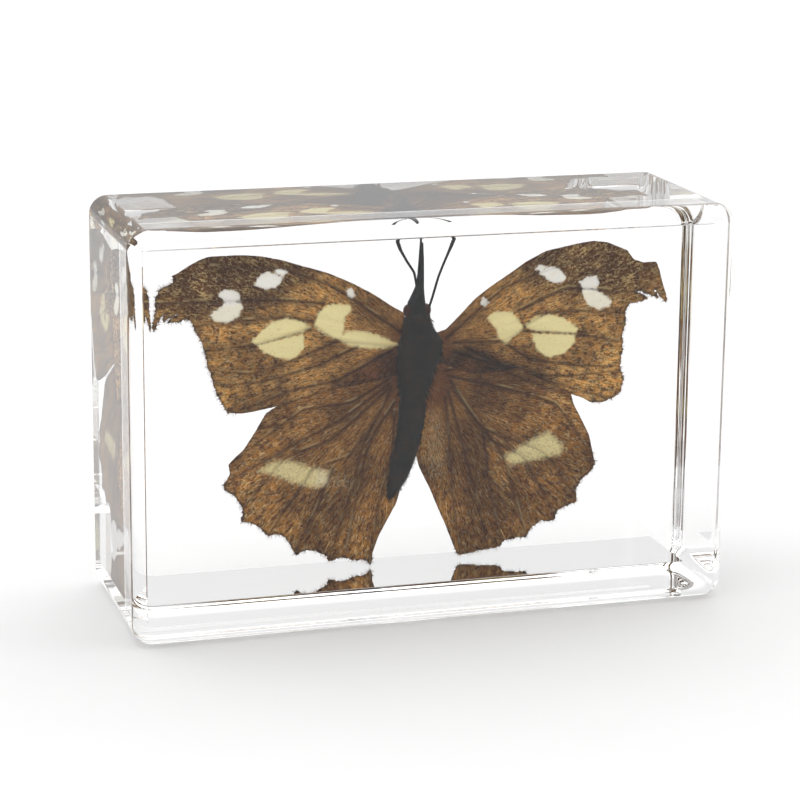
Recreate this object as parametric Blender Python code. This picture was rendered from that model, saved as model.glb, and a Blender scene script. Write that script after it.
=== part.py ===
"""Clear cast resin block, the solid that holds a mounted butterfly.

The block stands on its long narrow side, with its large face toward -Y.
Width runs along X, thickness along Y and height along Z. The origin is at
the middle of the side it stands on.
"""

import bpy

# Outer size of the casting, in metres.
BLOCK_WIDTH = 0.0600
BLOCK_THICKNESS = 0.0220
BLOCK_HEIGHT = 0.0400

# All edges come out of the mould round, and are only flatted and polished.
EDGE_RADIUS = 0.0019
EDGE_STEPS = 10


def clear_scene():
    for obj in list(bpy.data.objects):
        bpy.data.objects.remove(obj, do_unlink=True)
    for mesh in list(bpy.data.meshes):
        bpy.data.meshes.remove(mesh)


def resin_material():
    material = bpy.data.materials.new("resin")
    material.use_nodes = True
    shader = material.node_tree.nodes["Principled BSDF"]
    shader.inputs["Base Color"].default_value = (0.93, 0.93, 0.91, 1.0)
    shader.inputs["Roughness"].default_value = 0.05
    shader.inputs["Metallic"].default_value = 0.0
    return material


def box_mesh(name, width, thickness, height):
    """A plain box standing on Z = 0, centred on the Z axis."""
    x = width / 2
    y = thickness / 2
    corners = [
        (-x, -y, 0.0),
        (x, -y, 0.0),
        (x, y, 0.0),
        (-x, y, 0.0),
        (-x, -y, height),
        (x, -y, height),
        (x, y, height),
        (-x, y, height),
    ]
    sides = [
        (0, 3, 2, 1),
        (4, 5, 6, 7),
        (0, 1, 5, 4),
        (1, 2, 6, 5),
        (2, 3, 7, 6),
        (3, 0, 4, 7),
    ]
    mesh = bpy.data.meshes.new(name)
    mesh.from_pydata(corners, [], sides)
    mesh.update()
    return mesh


def build_block():
    mesh = box_mesh("resin_block", BLOCK_WIDTH, BLOCK_THICKNESS, BLOCK_HEIGHT)
    block = bpy.data.objects.new("resin_block", mesh)
    bpy.context.scene.collection.objects.link(block)

    rounding = block.modifiers.new("rounded edges", "BEVEL")
    rounding.width = EDGE_RADIUS
    rounding.segments = EDGE_STEPS
    rounding.limit_method = "NONE"
    rounding.use_clamp_overlap = False

    block.data.materials.append(resin_material())
    for polygon in block.data.polygons:
        polygon.use_smooth = True
    return block


clear_scene()
build_block()
print("resin block built")
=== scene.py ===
import math
import random

import bmesh
import bpy
import numpy as np
from mathutils import Matrix, Vector, geometry, noise


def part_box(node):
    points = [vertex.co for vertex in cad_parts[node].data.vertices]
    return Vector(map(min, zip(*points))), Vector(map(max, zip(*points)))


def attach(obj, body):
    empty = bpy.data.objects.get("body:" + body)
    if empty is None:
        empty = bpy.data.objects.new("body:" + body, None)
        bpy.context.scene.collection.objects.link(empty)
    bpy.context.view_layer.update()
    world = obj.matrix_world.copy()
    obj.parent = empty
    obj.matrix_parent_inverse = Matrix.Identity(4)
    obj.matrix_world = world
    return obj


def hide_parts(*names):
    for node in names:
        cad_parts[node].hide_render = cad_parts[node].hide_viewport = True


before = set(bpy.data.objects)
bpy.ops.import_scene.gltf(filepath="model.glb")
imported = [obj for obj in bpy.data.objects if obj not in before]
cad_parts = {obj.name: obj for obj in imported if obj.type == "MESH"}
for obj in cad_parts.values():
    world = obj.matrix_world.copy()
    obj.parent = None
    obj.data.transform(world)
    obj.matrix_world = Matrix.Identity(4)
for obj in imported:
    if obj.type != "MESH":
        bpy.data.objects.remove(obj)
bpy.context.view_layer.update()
blockLow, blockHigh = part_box("resin_block")
blockSize = blockHigh - blockLow
blockMiddle = (blockLow + blockHigh) / 2
blockFoot = Vector((blockMiddle.x, blockMiddle.y, blockLow.z))
mm = 0.001
print("frame loaded, block", [round(s / mm, 2) for s in blockSize], "mm")


def addPiece(name, mesh):
    piece = bpy.data.objects.new(name, mesh)
    bpy.context.scene.collection.objects.link(piece)
    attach(piece, "root")
    return piece


def meshFrom(name, points, faces):
    # points are measured from the middle of the block's foot
    mesh = bpy.data.meshes.new(name)
    placed = [Vector(p) + blockFoot for p in points]
    mesh.from_pydata(placed, [], [tuple(int(i) for i in f) for f in faces])
    mesh.update()
    for face in mesh.polygons:
        face.use_smooth = True
    return mesh


# a small kit for wiring materials
class Wiring:
    def __init__(self, name):
        self.material = bpy.data.materials.new(name)
        self.material.use_nodes = True
        self.tree = self.material.node_tree
        self.shader = self.tree.nodes["Principled BSDF"]
        self.output = self.tree.nodes["Material Output"]

    def add(self, kind, **settings):
        node = self.tree.nodes.new("ShaderNode" + kind)
        for key, value in settings.items():
            setattr(node, key, value)
        return node

    def link(self, source, target):
        self.tree.links.new(source, target)

    def feed(self, socket, value):
        if hasattr(value, "is_linked"):
            self.link(value, socket)
        elif isinstance(value, tuple) and len(value) == 3 and socket.type == "RGBA":
            socket.default_value = (*value, 1)
        else:
            socket.default_value = value

    def mixColour(self, amount, first, second, blend="MIX"):
        node = self.add("Mix", data_type="RGBA", blend_type=blend)
        self.feed(node.inputs["Factor"], amount)
        self.feed(node.inputs["A"], first)
        self.feed(node.inputs["B"], second)
        return node.outputs["Result"]

    def sum(self, operation, first, second=0.5, clamp=False):
        node = self.add("Math", operation=operation, use_clamp=clamp)
        self.feed(node.inputs[0], first)
        self.feed(node.inputs[1], second)
        return node.outputs[0]

    def step(self, value, low, high):
        node = self.add("MapRange", interpolation_type="SMOOTHSTEP")
        self.feed(node.inputs["Value"], value)
        node.inputs["From Min"].default_value = low
        node.inputs["From Max"].default_value = high
        return node.outputs["Result"]

    def noise(self, where, scale, detail=3.0, roughness=0.55):
        node = self.add("TexNoise")
        self.link(where, node.inputs["Vector"])
        node.inputs["Scale"].default_value = scale
        node.inputs["Detail"].default_value = detail
        node.inputs["Roughness"].default_value = roughness
        return node.outputs["Fac"]

    def stretch(self, where, scale):
        node = self.add("Mapping")
        self.link(where, node.inputs["Vector"])
        node.inputs["Scale"].default_value = scale
        return node.outputs["Vector"]

    def bump(self, height, strength, distance):
        node = self.add("Bump")
        self.link(height, node.inputs["Height"])
        node.inputs["Strength"].default_value = strength
        node.inputs["Distance"].default_value = distance
        return node.outputs["Normal"]


blockLook = {
    "edgeRadius": 1.9 * mm,
    "edgeSteps": 20,
    "ior": 1.5,
    "tint": (0.985, 0.99, 0.985),
    "density": 4.0,      # how strongly a metre of resin takes off its tint
}

# thin air seams between the inner casting and the rim poured round it: lowest and highest corner,
# in mm from the middle of the block's foot
seams = {
    "leftSeam": ((-28.36, -9.0, 2.3), (-28.30, -4.6, 38.0)),
    "bottomSeam": ((-27.3, -3.5, 2.64), (27.3, 10.5, 2.70)),
    "topSeam": ((-28.0, -9.0, 37.94), (28.0, -4.6, 38.00)),
}


def makeResin():
    wiring = Wiring("clearResin")
    shader = wiring.shader
    shader.inputs["Base Color"].default_value = (1, 1, 1, 1)
    shader.inputs["Roughness"].default_value = 0.0
    shader.inputs["IOR"].default_value = blockLook["ior"]
    shader.inputs["Transmission Weight"].default_value = 1.0
    soak = wiring.add("VolumeAbsorption")
    soak.inputs["Color"].default_value = (*blockLook["tint"], 1)
    soak.inputs["Density"].default_value = blockLook["density"]
    wiring.link(soak.outputs[0], wiring.output.inputs["Volume"])
    return wiring.material


def makeBlock():
    mesh = bpy.data.meshes.new("resinCasting")
    shape = bmesh.new()
    weight = shape.edges.layers.float.new("bevel_weight_edge")
    bmesh.ops.create_cube(shape, size=1.0)
    bmesh.ops.scale(shape, vec=blockSize, verts=shape.verts)
    bmesh.ops.translate(shape, vec=blockMiddle, verts=shape.verts)
    for edge in shape.edges:
        edge[weight] = 1.0
    for face in shape.faces:
        face.smooth = True
    for low, high in seams.values():
        low, high = blockFoot + Vector(low) * mm, blockFoot + Vector(high) * mm
        made = bmesh.ops.create_cube(shape, size=1.0)["verts"]
        bmesh.ops.scale(shape, vec=high - low, verts=made)
        bmesh.ops.translate(shape, vec=(low + high) / 2, verts=made)
        walls = {face for vert in made for face in vert.link_faces}
        bmesh.ops.reverse_faces(shape, faces=list(walls))      # a seam is a hollow
    shape.to_mesh(mesh)
    shape.free()
    mesh.materials.append(makeResin())
    block = addPiece("resinCasting", mesh)
    rounding = block.modifiers.new("rounded edges", "BEVEL")
    rounding.width = blockLook["edgeRadius"]
    rounding.segments = blockLook["edgeSteps"]
    rounding.limit_method = "WEIGHT"
    rounding.use_clamp_overlap = False
    rounding.harden_normals = True
    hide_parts("resin_block")


makeBlock()
print("resin block done")


# outlines, veins and pale marks are (across, up) in mm from the middle of the block's foot
wings = {
    "leftForewing": {
        "outline": [
            (-0.6, 28.6), (-1.8, 29.4), (-3.7, 30.7), (-6, 32), (-8.4, 33.1), (-10.9, 33.9), (-13, 34.6),
            (-15.2, 35.1), (-17.1, 35.3), (-18.9, 35.3), (-20.2, 35.3), (-21.2, 35), (-22.2, 34.5),
            (-23.4, 33.8), (-23.9, 33.6), (-23.7, 33.3), (-24, 32.8), (-24.7, 32.6), (-25.2, 32.3),
            (-25.4, 31.6), (-25.5, 31.1), (-25.5, 30.2), (-25.8, 28.9), (-25.7, 28.3),
            (-25.5, 28.5), (-25.2, 29.2),
            (-24.7, 30), (-24.7, 29.2), (-23.3, 29.9), (-24.3, 29.1), (-23.5, 29), (-22.4, 29.3),
            (-21.9, 28.9), (-21.6, 28), (-21.1, 27.2), (-20.7, 25.8), (-20.4, 24.5), (-19.9, 23.1),
            (-19.6, 21.8), (-19, 20.7), (-18.5, 19.8), (-17.2, 19.6), (-15.9, 19.7), (-13.3, 20.1),
            (-10.5, 20.8), (-8.3, 21.3), (-5.4, 21.7), (-2.8, 22.1), (-0.7, 22.7)],
        "fringe": (14, 41),
        "root": (0.6, 25.6),
        "veins": [
            [(-0.7, 26.6), (-7.7, 31.6), (-12.9, 33.7), (-20.1, 34.3)],
            [(-8.8, 30.1), (-13.9, 30.7), (-19.5, 30.9), (-25.9, 31.0)],
            [(-9.8, 28.3), (-12.6, 28.9), (-17.0, 28.8), (-21.3, 28.7)],
            [(-10.1, 27.7), (-13.2, 26.9), (-15.5, 26.4), (-21.2, 26.0)],
            [(-1.2, 25.3), (-7.3, 26.3), (-9.8, 28.1), (-8.8, 30.0)],
            [(-7.3, 26.3), (-12.1, 24.5), (-16.3, 23.5), (-19.9, 24.1)],
            [(-5.3, 25.6), (-9.4, 23.9), (-15.1, 22.6), (-19.8, 22.6)],
            [(-1.9, 25.0), (-7.4, 22.3), (-12.1, 21.5), (-16.4, 20.1), (-17.9, 19.8)]],
        "marks": [
            ("white", 0.12, [(-15.7, 32.3), (-15.2, 33.2), (-14.5, 33.5), (-13.7, 33.2), (-12.9, 32.9),
                (-13.6, 32.0), (-14.6, 31.9)]),
            ("white", 0.12, [(-13.6, 33.7), (-13.1, 33.7), (-12.5, 33.4), (-12.9, 33.1), (-13.5, 33.4)]),
            ("white", 0.12, [(-19.3, 31.6), (-18.7, 31.9), (-18.0, 31.9), (-17.2, 31.4), (-17.3, 30.8),
                (-18.6, 30.7)]),
            ("cream", 0.16, [(-17.3, 30.6), (-17.0, 30.2), (-17.5, 29.2), (-18.5, 28.8), (-19.6, 29.0),
                (-20.1, 29.6), (-19.4, 30.0), (-18.7, 30.6)]),
            ("white", 0.12, [(-6.5, 31.3), (-6.0, 31.4), (-5.6, 30.7), (-6.0, 30.5), (-6.3, 30.8)]),
            ("yellow", 0.18, [(-9.2, 29.3), (-8.4, 29.8), (-7.3, 29.9), (-6.2, 29.7), (-6.1, 29.2),
                (-6.7, 28.6), (-6.8, 27.4), (-7.1, 26.4), (-8.0, 26.7), (-9.3, 27.5), (-9.7, 28.1)]),
            ("yellow", 0.16, [(-16.0, 26.7), (-15.0, 27.7), (-14.0, 28.5), (-12.6, 28.8), (-11.3, 28.5),
                (-10.1, 27.8), (-11.0, 27.4), (-13.2, 26.9), (-15.4, 26.4)]),
            ("yellow", 0.16, [(-15.5, 26.3), (-13.2, 26.7), (-10.9, 27.1), (-10.8, 25.9), (-11.4, 25.1),
                (-12.2, 24.7), (-13.4, 25.0), (-14.6, 25.5)]),
            ("yellow", 0.22, [(-7.1, 26.4), (-6.5, 27.1), (-4.8, 27.0), (-3.2, 26.5), (-1.2, 25.5),
                (-2.7, 25.3), (-4.8, 25.5), (-6.1, 25.8)])],
        "apex": ((-17.5, 33.5), 12.0, 5.2),
        "depth": 5.85,
        "lift": 0.45,
    },
    "leftHindwing": {
        "outline": [
            (-0.9, 25.3), (-3.1, 25), (-5.3, 23.4), (-8.3, 21.3), (-11.7, 20.4), (-13.5, 19.9), (-14.5, 19.3),
            (-15, 18.5), (-15.9, 17.1), (-16.8, 15.8), (-17.8, 14.9), (-18.3, 14.4), (-18.2, 13.4),
            (-18.8, 12.3), (-18.7, 11.8), (-17.8, 11.3), (-17, 10), (-16.9, 9.4), (-17, 8.5), (-16, 8.2),
            (-15.2, 7.8), (-14.4, 6.8), (-13.3, 6.9), (-12.8, 6.7), (-12.1, 5.8), (-11.5, 4.6), (-10.6, 5),
            (-9.6, 4.9), (-8.4, 4.2), (-8.1, 3.7), (-6.8, 4), (-5.6, 3.6), (-4.4, 3.5), (-3.8, 3),
            (-3.6, 4.2),
            (-3, 5.9), (-1.9, 7.9), (-1.2, 9.2), (-0.8, 10.6), (-0.3, 14.3), (-0.2, 21.2)],
        "fringe": (12, 34),
        "root": (0.3, 21.8),
        "veins": [
            [(-2.1, 22.0), (-5.9, 19.9), (-10.7, 19.4), (-13.9, 17.4), (-18.0, 14.6)],
            [(-1.9, 21.6), (-6.9, 18.2), (-11.8, 15.9), (-18.1, 12.9)],
            [(-1.8, 21.3), (-8.0, 16.2), (-12.5, 14.7), (-16.8, 9.9)],
            [(-1.8, 21.0), (-3.4, 17.9), (-6.0, 14.5), (-9.8, 13.4)],
            [(-9.8, 13.4), (-10.7, 12.0), (-14.3, 7.0)],
            [(-7.8, 13.3), (-8.4, 11.6), (-11.5, 4.9)],
            [(-3.4, 17.9), (-4.6, 15.6), (-5.5, 12.2), (-8.1, 4.0)],
            [(-1.5, 19.6), (-4.1, 15.5), (-5.4, 9.6), (-6.5, 4.0)],
            [(-1.4, 18.7), (-1.7, 14.5), (-3.0, 9.4), (-3.9, 3.4)]],
        "marks": [
            ("dull", 0.35, [(-15.4, 13.5), (-14.0, 14.4), (-12.0, 14.4), (-10.4, 13.7), (-8.1, 13.0),
                (-8.3, 11.6), (-9.5, 11.4), (-11.5, 11.9), (-13.2, 12.7)]),
            ("faint", 0.60, [(-8.2, 13.0), (-5.7, 12.4), (-5.9, 10.4), (-8.4, 11.6)])],
        "apex": None,
        "depth": 6.25,
        "lift": -0.25,
    },
    "rightForewing": {
        "outline": [
            (3.7, 26.8), (5, 28), (6.8, 29.8), (8.5, 31), (10.3, 32.1), (12, 33.2), (14.1, 34.2),
            (16.2, 34.6),
            (18, 34.9), (19, 35), (20.5, 34.8), (21.7, 34.3), (22.6, 33.9), (23.3, 33), (24.4, 32.6),
            (25.7, 32.6), (26.1, 31.7), (26.5, 30.3), (26.9, 29.2), (26.9, 28.4), (25.5, 29.8), (26, 28.9),
            (23.5, 29.8), (24.9, 28.9), (23.9, 28.6), (22.9, 28.4), (22.6, 27.8), (22.6, 26.6), (22.3, 25.2),
            (22.4, 23.8), (22.2, 22.6), (22.2, 21.8), (22.6, 20.7), (22.2, 19.3), (21.3, 18.7), (19.9, 18.4),
            (19.2, 18.4), (18.1, 19), (17, 19.4), (14.5, 20.7), (12.7, 21.7), (11.7, 22.3), (9.7, 22.3),
            (6.2, 22.2), (3.3, 23.3), (1.9, 23.5), (1.9, 26.2)],
        "fringe": (18, 36),
        "root": (1.6, 25.2),
        "veins": [
            [(3.8, 25.9), (9.6, 30.6), (13.4, 32.0), (19.8, 33.6)],
            [(11.3, 28.3), (16.2, 30.3), (19.8, 30.0), (26.8, 29.2)],
            [(11.8, 26.5), (14.5, 27.9), (18.0, 27.9), (22.5, 27.5)],
            [(11.8, 26.2), (17.3, 25.6), (22.3, 24.5)],
            [(4.5, 25.4), (9.6, 25.3), (11.8, 26.4), (11.3, 28.3)],
            [(9.6, 25.3), (12.7, 23.2), (18.1, 22.3), (22.2, 22.0)],
            [(5.7, 24.9), (12.0, 21.7), (17.2, 21.3), (22.2, 21.6)],
            [(4.5, 24.5), (11.0, 22.1), (15.4, 20.6), (21.0, 18.7)]],
        "marks": [
            ("white", 0.12, [(13.4, 32.0), (14.1, 32.5), (14.8, 32.6), (15.5, 32.2), (16.2, 31.4),
                (15.7, 31.0), (14.8, 31.0)]),
            ("white", 0.12, [(13.0, 32.4), (13.4, 32.8), (14.0, 32.6), (13.7, 32.2)]),
            ("white", 0.12, [(17.7, 30.9), (18.4, 31.3), (19.3, 31.4), (19.7, 30.8), (19.3, 30.2),
                (18.0, 30.2)]),
            ("cream", 0.16, [(18.0, 30.1), (19.3, 30.0), (20.0, 29.6), (21.0, 28.8), (20.7, 28.3),
                (19.6, 28.1), (18.6, 28.6), (18.1, 29.5)]),
            ("white", 0.12, [(7.3, 29.2), (7.6, 29.8), (8.1, 29.3), (7.7, 28.9)]),
            ("yellow", 0.18, [(8.1, 27.7), (8.7, 28.2), (10.4, 28.2), (11.0, 27.6), (11.8, 26.5),
                (10.8, 25.7),
                (10.0, 25.0), (9.4, 25.5), (9.0, 26.6)]),
            ("yellow", 0.16, [(12.0, 26.7), (13.1, 27.5), (14.5, 27.7), (15.9, 27.3), (17.5, 26.2),
                (17.3, 25.7), (13.1, 26.1)]),
            ("yellow", 0.16, [(12.8, 25.8), (17.2, 25.5), (17.2, 24.8), (16.3, 23.8), (14.7, 23.4),
                (13.6, 23.9), (13.1, 24.9)])],
        "apex": ((17.5, 33.2), 12.0, 5.2),
        "depth": 5.85,
        "lift": 0.35,
    },
    "rightHindwing": {
        "outline": [
            (3.3, 23.9), (6.2, 24.9), (8, 24.6), (11.7, 22.6), (14.5, 21.2), (17.1, 19.4), (17.5, 18.2),
            (18.5, 16.3), (19.2, 14.9), (19.6, 13.3), (19.9, 11.8), (19.6, 11.2), (18.5, 10.2), (17.9, 9.2),
            (18, 7.9), (16.7, 7.5), (15.8, 6.9), (15.6, 6.1), (14.2, 6.2), (13.1, 5.4), (12.6, 4.6),
            (11.3, 4.5), (10.2, 4.3), (9.9, 3.8), (8.4, 3.6), (7, 3.4), (5.4, 3.3), (4.9, 4.3), (4, 6.6),
            (3.1, 8.6), (2.3, 10.5), (1.6, 11.9), (1.1, 13), (0.6, 15.3), (0.7, 22.1)],
        "fringe": (9, 27),
        "root": (1.6, 21.6),
        "veins": [
            [(3.8, 22.5), (7.8, 22.9), (12.0, 21.2), (17.0, 19.1)],
            [(4.1, 22.0), (10.2, 20.3), (15.6, 18.3), (19.4, 12.9)],
            [(4.3, 21.5), (7.8, 16.4), (14.3, 13.4), (17.9, 8.5)],
            [(8.5, 15.1), (12.2, 13.0), (15.8, 6.4)],
            [(7.8, 16.4), (9.9, 13.6), (12.7, 4.7)],
            [(4.5, 20.8), (7.8, 16.0), (8.5, 11.1), (10.0, 3.9)],
            [(4.1, 20.5), (6.2, 13.1), (7.2, 9.5), (8.6, 3.5)],
            [(3.8, 19.8), (4.5, 13.2), (4.9, 8.0), (5.6, 3.5)]],
        "marks": [
            ("dull", 0.35, [(10.1, 13.2), (12.0, 14.3), (13.4, 15.0), (14.9, 15.6), (16.5, 13.9),
                (16.1, 13.0),
                (14.5, 12.8), (12.9, 12.5), (10.9, 12.3)]),
            ("faint", 0.70, [(1.8, 19.3), (3.7, 18.4), (4.2, 15.0), (4.0, 11.5), (2.5, 11.1), (1.4, 13.5)])],
        "apex": None,
        "depth": 6.25,
        "lift": -0.25,
    },
}

# how much of the scales a mark has lost, and how white it is
markKinds = {
    "white": (1.0, 1.0),
    "cream": (1.0, 0.72),
    "yellow": (0.93, 0.0),
    "dull": (0.62, 0.0),
    "faint": (0.30, 0.25),
}

wingMake = {
    "grid": 0.12,            # mm between mesh points
    "film": 0.05,            # mm thick
    "veinWidth": 0.13,
    "veinHeight": 0.07,
    "pleat": 0.05,
    "wave": 0.22,
    "crinkle": 0.022,
    "fray": 0.20,
    "halfWing": 25,          # mm from root to tip, where the lift is full
}


def curveThrough(points, closed, spacing):
    # points every spacing or so along a soft curve through the given ones
    count = len(points)
    given = [np.array(p, float) for p in points]
    out = []
    for k in range(count if closed else count - 1):
        a, b = given[k], given[(k + 1) % count]
        before = given[k - 1] if closed or k > 0 else a
        after = given[(k + 2) % count] if closed or k + 2 < count else b
        leave, arrive = (b - before) * 0.36, (after - a) * 0.36
        length = np.linalg.norm(b - a)
        most = 1.1 * length                    # keeps the sharp corners sharp
        leave *= min(1, most / max(1e-6, np.linalg.norm(leave) * 3))
        arrive *= min(1, most / max(1e-6, np.linalg.norm(arrive) * 3))
        steps = max(1, int(round(length / spacing)))
        for j in range(steps):
            t = j / steps
            h = (2 * t**3 - 3 * t**2 + 1, t**3 - 2 * t**2 + t, 3 * t**2 - 2 * t**3, t**3 - t**2)
            out.append(h[0] * a + h[1] * leave + h[2] * b + h[3] * arrive)
    if not closed:
        out.append(given[-1])
    return np.array(out)


def lineDistance(points, line):
    # distance of every point to a run of straight stretches, and how far along it
    best = np.full(len(points), 1e9)
    along = np.zeros(len(points))
    for k in range(len(line) - 1):
        a, step = line[k], line[k + 1] - line[k]
        t = np.clip((points - a) @ step / max(1e-9, step @ step), 0, 1)
        away = np.linalg.norm(points - a - t[:, None] * step, axis=1)
        near = away < best
        best[near] = away[near]
        along[near] = (k + t[near]) / (len(line) - 1)
    return best, along


def isInside(points, outline):
    inside = np.zeros(len(points), bool)
    x, z = points[:, 0], points[:, 1]
    for k in range(len(outline)):
        (x1, z1), (x2, z2) = outline[k - 1], outline[k]
        if z1 == z2:
            continue
        crosses = (z1 > z) != (z2 > z)
        inside ^= crosses & (x < (x2 - x1) * (z - z1) / (z2 - z1) + x1)
    return inside


def softStep(value, low, high):
    t = np.clip((value - low) / (high - low), 0, 1)
    return t * t * (3 - 2 * t)


def frayedOutline(wing, rng):
    start, end = wing["fringe"]
    corners = wing["outline"]
    frayed = []
    smooth = curveThrough(corners, True, wingMake["grid"])
    centre = smooth.mean(axis=0)
    marginLine = np.array(corners[start:end + 1], float)
    away, along = lineDistance(smooth, marginLine)
    for k, point in enumerate(smooth):
        ahead, back = smooth[(k + 1) % len(smooth)], smooth[k - 1]
        run = ahead - back
        outward = np.array([run[1], -run[0]]) / max(1e-9, np.linalg.norm(run))
        if (point - centre) @ outward < 0:
            outward = -outward
        rough = 0.03
        if away[k] < 0.25 and 0.02 < along[k] < 0.98:
            rough = wingMake["fray"]
        frayed.append(point + outward * rough * (rng.random() - 0.35))
    return np.array(frayed)


def makeWingMesh(name, wing):
    rng = random.Random(name)
    outline = frayedOutline(wing, rng)
    low, high = outline.min(axis=0), outline.max(axis=0)
    step = wingMake["grid"]
    grid = [(x + (rng.random() - 0.5) * 0.3 * step, z + (rng.random() - 0.5) * 0.3 * step)
            for x in np.arange(low[0], high[0], step) for z in np.arange(low[1], high[1], step)]
    grid = np.array(grid)
    closedLine = np.vstack([outline, outline[:1]])
    grid = grid[isInside(grid, outline)]
    away, _ = lineDistance(grid, closedLine)
    grid = grid[away > 0.45 * step]
    allPoints = [Vector(p) for p in outline] + [Vector(p) for p in grid]
    rim = list(range(len(outline)))
    ring = [(k, (k + 1) % len(rim)) for k in rim]
    points, _, faces, *_ = geometry.delaunay_2d_cdt(allPoints, ring, [], 1, 1e-4)
    flat = np.array([tuple(p) for p in points])
    centres = np.array([flat[list(face)].mean(axis=0) for face in faces])
    keep = isInside(centres, outline)
    faces = [face for face, ok in zip(faces, keep) if ok]

    # what lies where on the wing
    root = np.array(wing["root"])
    fromRoot = flat - root
    reach = np.linalg.norm(fromRoot, axis=1)
    angle = np.arctan2(fromRoot[:, 1], np.abs(fromRoot[:, 0]))
    vein = np.zeros(len(flat))
    veinHighlight = np.zeros(len(flat))
    halo = np.zeros(len(flat))
    patchy = np.array([noise.noise(Vector((x * 0.45, z * 0.45, 3.1))) for x, z in flat])
    for line in wing["veins"]:
        smooth = curveThrough(line, False, 0.6)
        away, along = lineDistance(flat, smooth)
        width = wingMake["veinWidth"] * (1.25 - 0.65 * along)
        vein = np.maximum(vein, np.exp(-(away / width) ** 2) * (1 - 0.35 * along))
        # painted highlight: a thin pale line 0.24 mm above each vein, broken up by the patchy noise
        shifted, along = lineDistance(flat, smooth + np.array([0.0, 0.24]))
        halo = np.maximum(halo, np.exp(-(away / 0.55) ** 2) * (1 - 0.3 * along))
        veinHighlight = np.maximum(veinHighlight, np.exp(-(shifted / 0.07) ** 2) * softStep(patchy, 0.1, 0.35))
    rimAway, _ = lineDistance(flat, closedLine)
    pale = np.zeros(len(flat))
    white = np.zeros(len(flat))
    ragged = np.array([noise.fractal(Vector((x * 2.6, z * 2.6, 8.0)), 1.0, 2.0, 3) for x, z in flat])
    for kind, blur, patch in wing["marks"]:
        patchLine = np.array(patch + patch[:1], float)
        away, _ = lineDistance(flat, patchLine)
        signed = np.where(isInside(flat, np.array(patch)), away, -away) + 0.14 * ragged
        strength, whiteness = markKinds[kind]
        mask = softStep(signed, -2.6 * blur, 1.6 * blur) * strength
        pale = np.maximum(pale, mask)
        white = np.where(mask > 0.02, np.maximum(white, whiteness), white)
    apex = np.zeros(len(flat))
    if wing["apex"]:
        (ax, az), wide, tall = wing["apex"]
        tilt = math.radians(12) * (1 if ax > 0 else -1)
        dx, dz = flat[:, 0] - ax, flat[:, 1] - az
        u, v = dx * math.cos(tilt) - dz * math.sin(tilt), dx * math.sin(tilt) + dz * math.cos(tilt)
        apex = 1 - softStep(np.hypot(u / wide, v / tall), 0.45, 1.05)
    rust = 1 - softStep(reach, 1.6, 4.6)
    edge = np.exp(-(rimAway / 0.16) ** 2)

    # relief towards the viewer: veins stand up, the skin between them is pleated and wavy
    pleats = np.array([noise.noise(Vector((a * 15, r * 0.10, 1.7))) for a, r in zip(angle, reach)])
    waves = np.array([noise.noise(Vector((x * 0.11, z * 0.11, 5.3))) for x, z in flat])
    crinkle = np.array([noise.noise(Vector((a * 46, r * 0.5, 9.7))) for a, r in zip(angle, reach)])
    proud = (wingMake["veinHeight"] * vein + wingMake["pleat"] * pleats * softStep(reach, 2, 9)
             + wingMake["wave"] * waves * softStep(reach, 3, 12) + wingMake["crinkle"] * crinkle
             + wing["lift"] * (reach / wingMake["halfWing"]) ** 2)
    y = wing["depth"] - proud
    front = np.column_stack([flat[:, 0], y, flat[:, 1]]) * mm
    behind = front + np.array([0, wingMake["film"] * mm, 0])

    # two skins and the thin rim between them
    count = len(flat)
    skins = []
    for face in faces:
        a, b, c = face
        turn = np.cross(flat[b] - flat[a], flat[c] - flat[a])
        a, b, c = (a, b, c) if turn > 0 else (a, c, b)
        skins += [(a, b, c), (a + count, c + count, b + count)]
    used = {}
    for a, b, c in skins[::2]:
        for pair in ((a, b), (b, c), (c, a)):
            used[pair] = True
    skins += [(b, a, a + count, b + count) for a, b in used if (b, a) not in used]
    mesh = meshFrom(name, np.vstack([front, behind]), skins)

    def paint(label, columns):
        layer = mesh.attributes.new(label, "FLOAT_VECTOR", "POINT")
        values = np.column_stack(columns)
        layer.data.foreach_set("vector", np.vstack([values, values]).astype(np.float32).ravel())

    paint("patches", [vein, pale, white])
    paint("tones", [apex, rust, edge])
    # the third value of flow is the painted highlight beside the veins
    paint("flow", [reach, angle * 14, veinHighlight])
    paint("shadows", [halo, softStep(reach, 3.0, 20.0), np.zeros(len(flat))])
    return mesh


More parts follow.
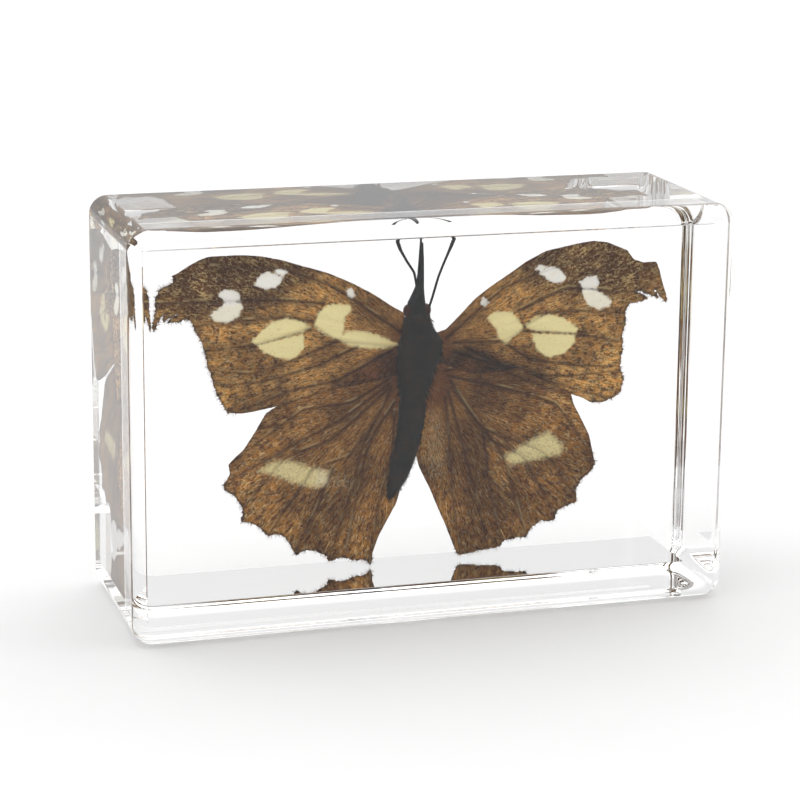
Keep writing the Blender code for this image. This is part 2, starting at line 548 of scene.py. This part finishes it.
def makeFringe(name, wing):
    # short scales standing out round the outer margin
    rng = random.Random(name)
    start, end = wing["fringe"]
    smooth = curveThrough(wing["outline"], True, 0.05)
    margin = np.array(wing["outline"][start:end + 1], float)
    away, along = lineDistance(smooth, margin)
    area = sum(a[0] * b[1] - b[0] * a[1] for a, b in zip(smooth, np.roll(smooth, -1, axis=0)))
    turn = 1 if area > 0 else -1
    reach = np.linalg.norm(smooth - np.array(wing["root"]), axis=1)
    points, faces = [], []
    for k, foot in enumerate(smooth):
        if away[k] > 0.3 or not 0.01 < along[k] < 0.99 or rng.random() < 0.25:
            continue
        run = smooth[(k + 2) % len(smooth)] - smooth[k - 2]
        out = np.array([run[1], -run[0]]) * turn / max(1e-9, np.linalg.norm(run))
        out = out + np.array([rng.uniform(-0.35, 0.35), rng.uniform(-0.35, 0.35)])
        length = rng.uniform(0.16, 0.46)
        lift = wing["lift"] * (reach[k] / wingMake["halfWing"]) ** 2
        y = wing["depth"] - lift + rng.uniform(-0.03, 0.05)
        side = np.array([-out[1], out[0]]) * 0.022
        root = foot - out * 0.12
        tip = foot + out * length
        first = len(points)
        points += [Vector((root[0] + side[0], y, root[1] + side[1])) * mm,
                   Vector((root[0] - side[0], y, root[1] - side[1])) * mm,
                   Vector((root[0], y + 0.03, root[1])) * mm,
                   Vector((tip[0], y + 0.01, tip[1])) * mm]
        faces += [(first, first + 1, first + 3), (first + 1, first + 2, first + 3),
                  (first + 2, first, first + 3), (first + 2, first + 1, first)]
    return meshFrom(name, points, faces)


wingColour = {
    "foreMid": (0.54, 0.225, 0.036),
    "hindMid": (0.32, 0.112, 0.012),
    "dark": (0.060, 0.016, 0.003),
    "tan": (1.0, 0.72, 0.27),
    "apex": (0.040, 0.009, 0.0016),
    "rust": (0.10, 0.018, 0.005),
    "vein": (0.030, 0.011, 0.004),
    "yellow": (1.0, 0.88, 0.44),
    "white": (1.0, 0.98, 0.90),
    "through": 0.92,          # share of the light that comes through from behind
}


def makeWingScales(name, mid, tanShare):
    w = Wiring(name)
    parts = w.add("SeparateXYZ")
    w.link(w.add("Attribute", attribute_name="patches").outputs["Vector"], parts.inputs[0])
    vein, pale, white = parts.outputs
    parts = w.add("SeparateXYZ")
    w.link(w.add("Attribute", attribute_name="tones").outputs["Vector"], parts.inputs[0])
    apex, rust, edge = parts.outputs
    flow = w.add("Attribute", attribute_name="flow").outputs["Vector"]
    parts = w.add("SeparateXYZ")
    w.link(flow, parts.inputs[0])
    # the painted highlight line beside the veins, read from the flow attribute
    veinHighlight = parts.outputs["Z"]
    parts = w.add("SeparateXYZ")
    w.link(w.add("Attribute", attribute_name="shadows").outputs["Vector"], parts.inputs[0])
    halo, outward, _ = parts.outputs
    place = w.add("TexCoord").outputs["Object"]

    def paintedCreaseLine(scale, thin):                     # thin wandering lines along the wing, used as painted glints and painted crease shade
        field = w.noise(w.stretch(flow, scale), 1.0, 2.0, 0.5)
        return w.step(w.sum("ABSOLUTE", w.sum("SUBTRACT", field, 0.5), 0.0), thin, 0.0)

    blotch = w.noise(place, 210.0, 4.0, 0.6)
    streak = w.noise(w.stretch(flow, (1.3, 2.7, 0.0)), 1.0, 4.0, 0.68)
    # long thin streaks along the wing, painted as highlights below
    highlightStreak = w.noise(w.stretch(flow, (0.45, 7.5, 0.0)), 1.0, 2.0, 0.6)
    speck = w.noise(w.stretch(flow, (3.4, 4.6, 0.0)), 1.0, 3.0, 0.7)
    dust = w.noise(place, 4300.0, 2.0, 0.6)

    colour = w.mixColour(w.step(streak, 0.42, 0.57), wingColour["dark"], mid)
    colour = w.mixColour(w.sum("MULTIPLY", w.step(speck, 0.47, 0.62), tanShare), colour, wingColour["tan"])
    colour = w.mixColour(w.sum("MULTIPLY", w.step(dust, 0.40, 0.30), 0.35), colour, wingColour["dark"])
    colour = w.mixColour(w.sum("MULTIPLY", w.step(dust, 0.60, 0.72), 0.40), colour, wingColour["tan"])
    flecked = w.sum("MULTIPLY", w.step(speck, 0.54, 0.64), 0.48)
    darkApex = w.mixColour(flecked, wingColour["apex"], wingColour["tan"])
    colour = w.mixColour(w.sum("MULTIPLY", apex, 0.88), colour, darkApex)
    # painted glints: thin pale lines along the wing in the tan colour
    colour = w.mixColour(w.sum("MULTIPLY", paintedCreaseLine((0.6, 3.2, 0.0), 0.026), 0.62), colour, wingColour["tan"])
    # painted shade: thin dark lines along the wing, as in creases
    colour = w.mixColour(w.sum("MULTIPLY", paintedCreaseLine((0.34, 3.0, 5.0), 0.026), 0.72), colour, wingColour["dark"])
    shade = w.mixColour(w.step(blotch, 0.36, 0.64), (0.50, 0.45, 0.40), (1.40, 1.42, 1.45))
    colour = w.mixColour(1.0, colour, shade, "MULTIPLY")
    shade = w.mixColour(outward, (0.82, 0.76, 0.70), (1.18, 1.20, 1.22))
    colour = w.mixColour(1.0, colour, shade, "MULTIPLY")
    colour = w.mixColour(w.sum("MULTIPLY", halo, 0.42), colour, wingColour["dark"])
    colour = w.mixColour(w.sum("MULTIPLY", rust, 0.62), colour, wingColour["rust"])

    patch = w.mixColour(white, wingColour["yellow"], wingColour["white"])
    patch = w.mixColour(w.sum("MULTIPLY", w.step(dust, 0.42, 0.30), 0.35), patch, mid)
    rough = w.sum("MULTIPLY", w.sum("SUBTRACT", speck, 0.5), 0.9)
    raggedPale = w.sum("MULTIPLY", w.step(w.sum("ADD", pale, rough), 0.20, 0.80), w.step(pale, 0.02, 0.2))
    colour = w.mixColour(raggedPale, colour, patch)
    # painted highlights: long pale streaks and the thin line beside each vein, in the tan colour
    bright = w.sum("MULTIPLY", w.step(highlightStreak, 0.64, 0.72), 0.60)
    bright = w.sum("MAXIMUM", bright, w.sum("MULTIPLY", veinHighlight, 0.55))
    colour = w.mixColour(bright, colour, wingColour["tan"])
    drawn = w.sum("MULTIPLY", vein, w.sum("SUBTRACT", 0.95, w.sum("MULTIPLY", pale, 0.68)))
    colour = w.mixColour(drawn, colour, wingColour["vein"])
    colour = w.mixColour(w.sum("MULTIPLY", edge, 0.55), colour, wingColour["vein"])

    height = w.sum("ADD", w.sum("MULTIPLY", streak, 0.6), w.sum("MULTIPLY", speck, 0.4))
    relief = w.bump(height, 0.7, 0.08 * mm)
    w.link(colour, w.shader.inputs["Base Color"])
    w.shader.inputs["Roughness"].default_value = 0.55
    w.shader.inputs["Specular IOR Level"].default_value = 0.2
    w.link(relief, w.shader.inputs["Normal"])
    lighter = w.add("Gamma")                     # light goes through two skins
    w.link(colour, lighter.inputs["Color"])
    lighter.inputs["Gamma"].default_value = 0.5
    glow = w.add("BsdfTranslucent")
    w.link(lighter.outputs[0], glow.inputs["Color"])
    w.link(relief, glow.inputs["Normal"])
    blend = w.add("MixShader")
    through = wingColour["through"]              # pale patches have lost their scales and let more through
    w.link(w.sum("ADD", w.sum("MULTIPLY", pale, 1.0 - through), through), blend.inputs[0])
    w.link(w.shader.outputs[0], blend.inputs[1])
    w.link(glow.outputs[0], blend.inputs[2])
    w.link(blend.outputs[0], w.output.inputs["Surface"])
    return w.material


def makeFringeScales():
    w = Wiring("fringeScales")
    place = w.add("TexCoord").outputs["Object"]
    mottle = w.noise(place, 900.0, 3.0)
    colour = w.mixColour(w.step(mottle, 0.35, 0.65), wingColour["dark"], wingColour["tan"])
    colour = w.mixColour(0.45, colour, wingColour["hindMid"])
    w.link(colour, w.shader.inputs["Base Color"])
    w.shader.inputs["Roughness"].default_value = 0.6
    w.link(w.bump(mottle, 0.3, 0.02 * mm), w.shader.inputs["Normal"])
    glow = w.add("BsdfTranslucent")
    w.link(colour, glow.inputs["Color"])
    blend = w.add("MixShader")
    blend.inputs[0].default_value = 0.75
    w.link(w.shader.outputs[0], blend.inputs[1])
    w.link(glow.outputs[0], blend.inputs[2])
    w.link(blend.outputs[0], w.output.inputs["Surface"])
    return w.material


foreScales = makeWingScales("foreScales", wingColour["foreMid"], 0.38)
hindScales = makeWingScales("hindScales", wingColour["hindMid"], 0.13)
fringeScales = makeFringeScales()
for wingName, wing in wings.items():
    wingMesh = makeWingMesh(wingName, wing)
    wingMesh.materials.append(foreScales if "Fore" in wingName else hindScales)
    addPiece(wingName, wingMesh)
    fringe = makeFringe(wingName + "Fringe", wing)
    fringe.materials.append(fringeScales)
    addPiece(fringe.name, fringe)
    print(wingName, len(wingMesh.polygons), "faces")

# the body's parts as stations from head to tail: (up, across, depth, half width, half depth) in mm
body = {
    "thorax": [(29.0, 0.62, 5.3, 0.75, 0.8), (28.3, 0.64, 5.2, 1.25, 1.35), (27.2, 0.72, 5.1, 1.55, 1.75),
               (26.0, 0.98, 5.0, 2.12, 2.05), (24.6, 0.88, 5.0, 2.25, 2.2), (23.2, 0.62, 5.1, 2.0, 2.1),
               (21.9, 0.45, 5.2, 1.75, 1.85), (20.6, 0.35, 5.3, 1.45, 1.55), (19.6, 0.3, 5.35, 1.1, 1.2)],
    "abdomen": [(20.9, 0.32, 5.3, 1.15, 1.25), (19.4, 0.25, 5.3, 1.38, 1.45), (17.6, 0.12, 5.35, 1.36, 1.5),
                (15.6, -0.25, 5.4, 1.32, 1.45), (13.6, -0.75, 5.5, 1.22, 1.3), (12.0, -1.15, 5.55, 1.0, 1.1),
                (10.9, -1.6, 5.6, 0.72, 0.8), (10.1, -1.85, 5.6, 0.36, 0.45), (9.8, -1.92, 5.6, 0.12, 0.15)],
    "head": [(30.0, 0.5, 5.2, 0.35, 0.4), (29.6, 0.52, 5.2, 0.85, 0.75), (29.1, 0.55, 5.2, 1.1, 0.95),
             (28.5, 0.6, 5.2, 1.05, 0.95), (28.0, 0.62, 5.2, 0.7, 0.7)],
    "leftPalp": [(36.1, 0.95, 5.3, 0.10, 0.10), (34.4, 0.90, 5.2, 0.19, 0.2), (32.6, 0.80, 5.0, 0.26, 0.28),
                 (31.6, 0.64, 4.9, 0.26, 0.3), (30.8, 0.42, 4.9, 0.38, 0.4), (29.8, 0.12, 5.0, 0.55, 0.5),
                 (28.9, 0.2, 5.1, 0.55, 0.5)],
    "rightPalp": [(35.7, 1.10, 5.35, 0.10, 0.10), (34.2, 1.06, 5.25, 0.19, 0.2),
                  (32.6, 1.02, 5.1, 0.24, 0.26),
                  (31.4, 0.98, 5.0, 0.26, 0.3), (30.4, 0.95, 5.0, 0.36, 0.4), (29.4, 0.95, 5.05, 0.5, 0.5),
                  (28.6, 0.9, 5.1, 0.45, 0.5)],
    "rings": 8,
    "ringDepth": 0.05,
}
eyes = {
    "across": {"leftEye": -0.35, "rightEye": 1.5},
    "depth": 5.1,
    "height": 29.0,
    "radius": 0.62,
}
feelers = {
    "leftAntenna": [(0.45, 5.0, 29.5), (0.4, 4.6, 31.5), (0.1, 4.5, 32.9), (-0.6, 4.6, 34.0),
                    (-1.25, 4.8, 35.2),
                    (-1.6, 4.9, 36.2)],
    "rightAntenna": [(1.5, 5.0, 28.4), (2.0, 4.6, 30.2), (2.6, 4.5, 32.3), (3.1, 4.6, 33.5), (3.9, 4.8, 35.2),
                     (4.3, 4.9, 36.1)],
    "thickness": 0.135,
    "club": 0.20,
}
legs = {
    "leftMiddleLeg": [(0.0, 6.6, 25.0), (-1.6, 8.2, 26.4), (-0.9, 8.6, 22.6), (-1.2, 8.3, 20.4)],
    "rightMiddleLeg": [(1.4, 6.6, 25.0), (3.0, 8.2, 26.3), (2.3, 8.6, 22.4), (2.6, 8.3, 20.2)],
    "leftHindLeg": [(-0.1, 6.7, 23.0), (-1.9, 8.0, 22.0), (-1.0, 8.5, 18.6), (-1.3, 8.2, 16.6)],
    "rightHindLeg": [(1.3, 6.7, 23.0), (2.8, 8.0, 21.8), (1.9, 8.5, 18.4), (2.1, 8.2, 16.4)],
    "leftForeLeg": [(0.1, 6.4, 27.0), (-1.0, 7.4, 28.2), (-0.4, 7.6, 26.2)],
    "rightForeLeg": [(1.2, 6.4, 27.0), (2.3, 7.4, 28.1), (1.7, 7.6, 26.1)],
    "thickness": 0.15,
}


def closedTube(name, points, ringCount, sides):
    # a skin over rings of points, shut at both ends
    faces = []
    for k in range(ringCount - 1):
        for j in range(sides):
            a, b = k * sides + j, k * sides + (j + 1) % sides
            faces.append((a, b, b + sides, a + sides))
    last = (ringCount - 1) * sides
    faces.append(tuple(reversed(range(sides))))
    faces.append(tuple(last + j for j in range(sides)))
    mesh = meshFrom(name, points, faces)
    turned = bmesh.new()
    turned.from_mesh(mesh)
    bmesh.ops.recalc_face_normals(turned, faces=turned.faces)
    turned.to_mesh(mesh)
    turned.free()
    return mesh


def loft(name, stations, sides=40, rings=0):
    given = np.array(stations, float)
    smooth = curveThrough([tuple(s) for s in given], False, 0.16)
    points = []
    for k, (z, x, y, wide, deep) in enumerate(smooth):
        share = k / (len(smooth) - 1)
        pinch = 1
        if rings:
            pinch -= body["ringDepth"] * (0.5 + 0.5 * math.cos(2 * math.pi * rings * share)) ** 6
        for j in range(sides):
            turn = 2 * math.pi * j / sides
            rough = 1 + 0.03 * noise.noise(Vector((3 * math.cos(turn) + x, 3 * math.sin(turn), z * 2.2)))
            size = pinch * rough
            across, back = x + wide * size * math.cos(turn), y + deep * size * math.sin(turn)
            points.append((across * mm, back * mm, z * mm))
    return closedTube(name, points, len(smooth), sides)


def makeThread(name, path, radiusAt, sides=12, spacing=0.08):
    smooth = curveThrough(path, False, spacing)
    points = []
    for k, centre in enumerate(smooth):
        ahead = smooth[min(k + 1, len(smooth) - 1)] - smooth[max(k - 1, 0)]
        ahead = Vector(ahead).normalized()
        side = ahead.cross(Vector((0, 1, 0.02))).normalized()
        other = ahead.cross(side)
        radius = radiusAt(k / (len(smooth) - 1), k)
        for j in range(sides):
            turn = 2 * math.pi * j / sides
            points.append((Vector(centre) + (side * math.cos(turn) + other * math.sin(turn)) * radius) * mm)
    return closedTube(name, points, len(smooth), sides)


bodyColour = {
    "black": (0.004, 0.004, 0.005),
    "blue": (0.007, 0.013, 0.019),
    "brown": (0.022, 0.010, 0.005),
    "eye": (0.050, 0.010, 0.006),
    "hair": (0.004, 0.003, 0.003),
}


def makeChitin(name, first, second, roughness, grain):
    w = Wiring(name)
    place = w.add("TexCoord").outputs["Object"]
    mottle = w.noise(place, 700.0, 4.0)
    fine = w.noise(w.stretch(place, (1.0, 1.0, 0.35)), grain, 3.0, 0.7)
    colour = w.mixColour(w.step(mottle, 0.42, 0.68), first, second)
    w.link(colour, w.shader.inputs["Base Color"])
    w.link(w.sum("ADD", w.sum("MULTIPLY", fine, 0.25), roughness - 0.12), w.shader.inputs["Roughness"])
    w.shader.inputs["Specular IOR Level"].default_value = 0.15
    w.link(w.bump(fine, 0.6, 0.04 * mm), w.shader.inputs["Normal"])
    return w.material


bodyShell = makeChitin("bodyShell", bodyColour["black"], bodyColour["brown"], 0.55, 5200.0)
snoutShell = makeChitin("snoutShell", bodyColour["black"], bodyColour["blue"], 0.5, 5200.0)
eyeShell = makeChitin("eyeShell", bodyColour["eye"], bodyColour["brown"], 0.3, 9000.0)
hairStuff = makeChitin("hairStuff", bodyColour["hair"], bodyColour["black"], 0.6, 3000.0)


def makeBody():
    for name in ("thorax", "abdomen", "head", "leftPalp", "rightPalp"):
        mesh = loft(name, body[name], rings=body["rings"] if name == "abdomen" else 0)
        mesh.materials.append(snoutShell if "Palp" in name or name == "head" else bodyShell)
        addPiece(name, mesh)
    for name, x in eyes["across"].items():
        mesh = bpy.data.meshes.new(name)
        shape = bmesh.new()
        bmesh.ops.create_icosphere(shape, subdivisions=4, radius=eyes["radius"] * mm)
        bmesh.ops.scale(shape, vec=(0.8, 1.0, 1.05), verts=shape.verts)
        for k, vert in enumerate(shape.verts):
            vert.co *= 1 + 0.012 * ((k * 7) % 3)           # a faceted skin
        place = blockFoot + Vector((x, eyes["depth"], eyes["height"])) * mm
        bmesh.ops.translate(shape, vec=place, verts=shape.verts)
        shape.to_mesh(mesh)
        shape.free()
        mesh.materials.append(eyeShell)
        addPiece(name, mesh)


def makeFeelers():
    for name in ("leftAntenna", "rightAntenna"):
        def radiusAt(share, k):
            club = softStep(share, 0.72, 0.97) * (1 - softStep(share, 0.985, 1.0) * 0.6)
            joint = 1.0 if k % 3 else 0.86
            return (feelers["thickness"] + (feelers["club"] - feelers["thickness"]) * club) * joint
        mesh = makeThread(name, feelers[name], radiusAt)
        mesh.materials.append(snoutShell)
        addPiece(name, mesh)
    for name, path in legs.items():
        if name == "thickness":
            continue
        mesh = makeThread(name, path, lambda share, k: legs["thickness"] * (1.15 - 0.7 * share), spacing=0.15)
        mesh.materials.append(bodyShell)
        addPiece(name, mesh)


hair = {
    "thoraxHair": ("thorax", 1500, 0.75),
    "abdomenHair": ("abdomen", 900, 0.42),
    "headHair": ("head", 350, 0.55),
}


def makeHair():
    for name, (host, count, length) in hair.items():
        rng = random.Random(name)
        stations = curveThrough(body[host], False, 0.1)
        points, faces = [], []
        for _ in range(count):
            z, x, y, wide, deep = stations[int(rng.random() * (len(stations) - 1))]
            turn = rng.random() * 2 * math.pi
            out = Vector((math.cos(turn) * wide, math.sin(turn) * deep, 0))
            root = Vector((x, y, z)) + out * 0.97
            lean = out.normalized() * 0.75 + Vector((rng.uniform(-.35, .35), rng.uniform(-.35, .35), -0.9))
            tip = root + lean.normalized() * length * rng.uniform(0.55, 1.15)
            side = lean.cross(Vector((0.3, 0.5, 0.8))).normalized() * 0.028
            other = lean.cross(side).normalized() * 0.028
            start = len(points)
            points += [(root + side) * mm, (root - side * 0.5 + other * 0.87) * mm,
                       (root - side * 0.5 - other * 0.87) * mm, tip * mm]
            faces += [(start, start + 1, start + 3), (start + 1, start + 2, start + 3),
                      (start + 2, start, start + 3), (start + 2, start + 1, start)]
        mesh = meshFrom(name, points, faces)
        mesh.materials.append(hairStuff)
        addPiece(name, mesh)


makeBody()
makeFeelers()
makeHair()
print("body done")

studio = {
    "floorRadius": 1.6,
    "floorWhite": 0.56,
    "floorGlow": 0.38,
    "horizon": 0.85,        # strength of the room light level with the block and from above
    "overhead": 2.40,
    "frontShade": 0.12,     # how bright the room is in front of the large face
}


def makeFloor():
    mesh = bpy.data.meshes.new("floorSheet")
    shape = bmesh.new()
    bmesh.ops.create_circle(shape, cap_ends=True, radius=studio["floorRadius"], segments=96)
    shape.to_mesh(mesh)
    shape.free()
    floor = bpy.data.objects.new("floorSheet", mesh)
    bpy.context.scene.collection.objects.link(floor)
    floor.location.z = blockLow.z - 0.02 * mm
    card = Wiring("floorCard")
    grain = card.noise(card.add("TexCoord").outputs["Object"], 90.0, 4.0)
    white = studio["floorWhite"]
    tone = card.mixColour(grain, (white,) * 3, (white - 0.02,) * 3)
    card.link(tone, card.shader.inputs["Base Color"])
    card.shader.inputs["Roughness"].default_value = 0.9
    card.shader.inputs["Specular IOR Level"].default_value = 0.0
    card.shader.inputs["Emission Color"].default_value = (white, white, white, 1)
    card.shader.inputs["Emission Strength"].default_value = studio["floorGlow"]
    mesh.materials.append(card.material)


def makeLight():
    world = bpy.data.worlds.new("softRoom")
    bpy.context.scene.world = world
    world.use_nodes = True
    nodes, links = world.node_tree.nodes, world.node_tree.links
    sky = nodes["Background"]
    where = nodes.new("ShaderNodeTexCoord")
    parts = nodes.new("ShaderNodeSeparateXYZ")
    scaled = nodes.new("ShaderNodeMapRange")
    ramp = nodes.new("ShaderNodeValToRGB")
    links.new(where.outputs["Generated"], parts.inputs[0])
    scaled.inputs["From Min"].default_value = -1
    links.new(parts.outputs["Y"], scaled.inputs["Value"])
    links.new(scaled.outputs[0], ramp.inputs[0])
    ramp.color_ramp.interpolation = "EASE"
    dark = studio["frontShade"]
    ramp.color_ramp.elements[0].position = 0.12
    ramp.color_ramp.elements[0].color = (dark, dark, dark, 1)
    ramp.color_ramp.elements[1].position = 0.50
    ramp.color_ramp.elements[1].color = (1, 1, 1, 1)
    links.new(ramp.outputs[0], sky.inputs["Color"])
    height = nodes.new("ShaderNodeMapRange")
    height.interpolation_type = "SMOOTHSTEP"
    links.new(parts.outputs["Z"], height.inputs["Value"])
    height.inputs["From Min"].default_value = 0.28
    height.inputs["From Max"].default_value = 0.75
    height.inputs["To Min"].default_value = studio["horizon"]
    height.inputs["To Max"].default_value = studio["overhead"]
    links.new(height.outputs["Result"], sky.inputs["Strength"])


makeFloor()
makeLight()
print("studio done")

eyePoint = {
    "place": (-76.98, -248.83, 86.71),      # mm
    "turn": 17.006,                         # degrees to the right of straight ahead
    "tip": 14.416,                          # degrees down
    "roll": -0.56,
    "lens": 121.9,
}


def makeCamera():
    camera = bpy.data.cameras.new("camera")
    eye = bpy.data.objects.new("camera", camera)
    bpy.context.scene.collection.objects.link(eye)
    camera.sensor_width = 36
    camera.lens = eyePoint["lens"]
    camera.clip_start = 0.01
    eye.location = Vector(eyePoint["place"]) * mm
    aim = (Matrix.Rotation(-math.radians(eyePoint["turn"]), 4, "Z")
           @ Matrix.Rotation(math.radians(90 - eyePoint["tip"]), 4, "X")
           @ Matrix.Rotation(-math.radians(eyePoint["roll"]), 4, "Z"))
    eye.rotation_euler = aim.to_euler()
    scene = bpy.context.scene
    scene.camera = eye
    scene.view_settings.view_transform = "Standard"
    scene.cycles.max_bounces = 24
    scene.cycles.transmission_bounces = 24
    scene.cycles.glossy_bounces = 24
    scene.cycles.diffuse_bounces = 4


makeCamera()

print("scene done")
